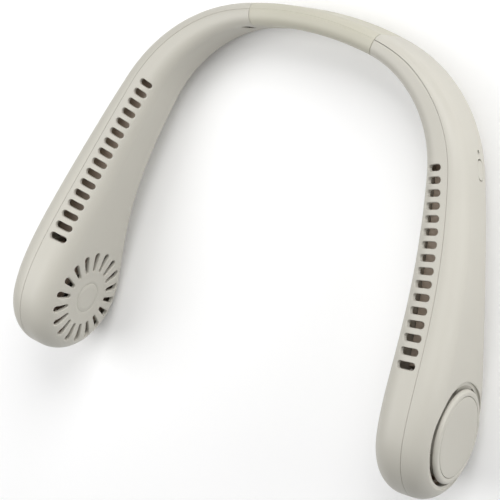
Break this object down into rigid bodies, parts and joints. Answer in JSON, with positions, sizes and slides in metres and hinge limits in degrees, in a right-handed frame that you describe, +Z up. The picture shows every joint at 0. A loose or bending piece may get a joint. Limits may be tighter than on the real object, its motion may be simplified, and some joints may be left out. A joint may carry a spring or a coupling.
{
  "type": "neck fan",
  "caption": "Bladeless neck fan: hollow arms on a bendable nape band, with a blower pod at each end and air slots along the top.",
  "frame": {"origin": "under the middle of the whole fan, on the surface that it lies on", "axes": "+X towards the arm with the power button, +Y from the pods towards the nape band, +Z up"},
  "size_m": [0.2198, 0.1777, 0.056],
  "materials": {
    "shell": "moulded ABS, fine matt texture",
    "band": "moulded silicone, satin",
    "guide": "moulded ABS",
    "impeller": "moulded ABS, smooth",
    "steel": "plated steel",
    "windings": "enamelled copper wire on laminations",
    "bronze": "sintered bronze",
    "dark_plastic": "moulded nylon",
    "cell": "printed film over a steel can, bare of print",
    "cable_jacket": "soft jacket",
    "board": "glass-fibre board with green mask",
    "lens": "clear moulded acrylic"
  },
  "bodies": {
    "neck_band": {"neck_sleeve": "band", "memory_wires": "steel", "neck_cable": "cable_jacket"},
    "left_arm": {"left_inner_shell": "shell", "left_outer_shell": "shell", "left_cap_rim": "shell", "left_cap_plate": "shell", "left_air_guide": "guide", "left_stator": "windings", "left_motor_base": "dark_plastic", "left_bearings": "bronze", "left_motor_screws": "steel", "left_battery": "cell", "left_motor_lead": "cable_jacket", "left_neck_plug": "dark_plastic", "usb_port": "steel", "usb_board": "board"},
    "left_blower": {"left_impeller": "impeller", "left_rotor_can": "steel", "left_shaft": "steel"},
    "right_arm": {"right_inner_shell": "shell", "right_outer_shell": "shell", "right_cap_rim": "shell", "right_cap_plate": "shell", "right_air_guide": "guide", "right_stator": "windings", "right_motor_base": "dark_plastic", "right_bearings": "bronze", "right_motor_screws": "steel", "right_battery": "cell", "right_motor_lead": "cable_jacket", "right_neck_plug": "dark_plastic", "main_board": "board", "board_screws": "steel", "power_switch": "dark_plastic", "status_lens": "lens"},
    "right_blower": {"right_impeller": "impeller", "right_rotor_can": "steel", "right_shaft": "steel"},
    "power_button": {"power_button": "shell"}
  },
  "joints": [
    {"name": "left_arm_flex", "type": "hinge", "parent": "neck_band", "child": "left_arm", "pos_m": [-0.01522, 0.08328, 0.013], "axis": [0, 0, -1], "range_deg": [-12, 20], "deforming": ["neck_sleeve", "memory_wires", "neck_cable"]},
    {"name": "right_arm_flex", "type": "hinge", "parent": "neck_band", "child": "right_arm", "pos_m": [0.01522, 0.08328, 0.013], "axis": [0, 0, 1], "range_deg": [-12, 20]},
    {"name": "left_impeller_spin", "type": "hinge", "parent": "left_arm", "child": "left_blower", "pos_m": [-0.09505, -0.06076, 0.028], "axis": [-0.9974, 0.0714, 0], "continuous": true},
    {"name": "right_impeller_spin", "type": "hinge", "parent": "right_arm", "child": "right_blower", "pos_m": [0.09505, -0.06076, 0.028], "axis": [0.9974, 0.0714, 0], "continuous": true},
    {"name": "power_button_press", "type": "slide", "parent": "right_arm", "child": "power_button", "axis": [-0.9262, -0.3769, 0.0079], "range_m": [0, 0.0004], "stiffness_N_per_m": 3000}
  ]
}
